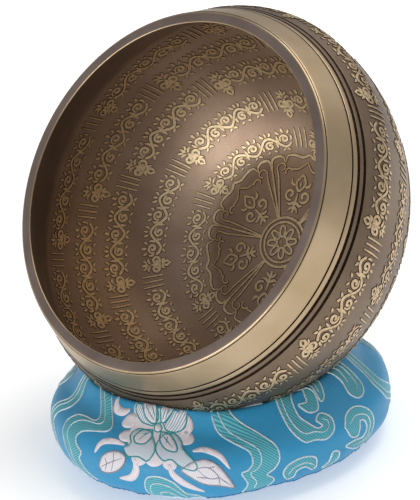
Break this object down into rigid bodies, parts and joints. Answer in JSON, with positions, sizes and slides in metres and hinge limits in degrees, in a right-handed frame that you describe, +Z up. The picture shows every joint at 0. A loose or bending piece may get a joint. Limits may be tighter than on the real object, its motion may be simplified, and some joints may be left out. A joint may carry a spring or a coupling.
{
  "type": "singing bowl",
  "caption": "Wide-bellied etched bronze singing bowl with a plain flared rim, lying at a slant on a round stuffed brocade cushion.",
  "frame": {"origin": "middle of the cushion's flat underside, on the surface that the set stands on", "axes": "+Z up; the bowl's mouth leans towards -Y; +X is to the right of someone who looks into the mouth from -Y"},
  "size_m": [0.1688, 0.1527, 0.1743],
  "materials": {
    "patinated_bronze": "cast bronze, turned satin rim, etched and patinated brown with polished raised ornament",
    "brocade_top": "sky-blue satin brocade with teal, silver and white woven flowers and scrolls",
    "brocade_underside": "sky-blue satin brocade",
    "fibre_filling": "loose polyester fibre",
    "seam_thread": "spun polyester sewing thread",
    "closing_thread": "hand sewing thread"
  },
  "bodies": {
    "cushion": {"cushion_top_panel": "brocade_top", "cushion_bottom_panel": "brocade_underside", "cushion_filling": "fibre_filling", "seam_thread": "seam_thread", "closing_thread": "closing_thread"},
    "bowl": {"bowl": "patinated_bronze"}
  },
  "joints": [
    {"name": "bowl_lift", "type": "slide", "parent": "cushion", "child": "bowl", "axis": [0, 0, 1], "range_m": [0, 0.08]}
  ]
}
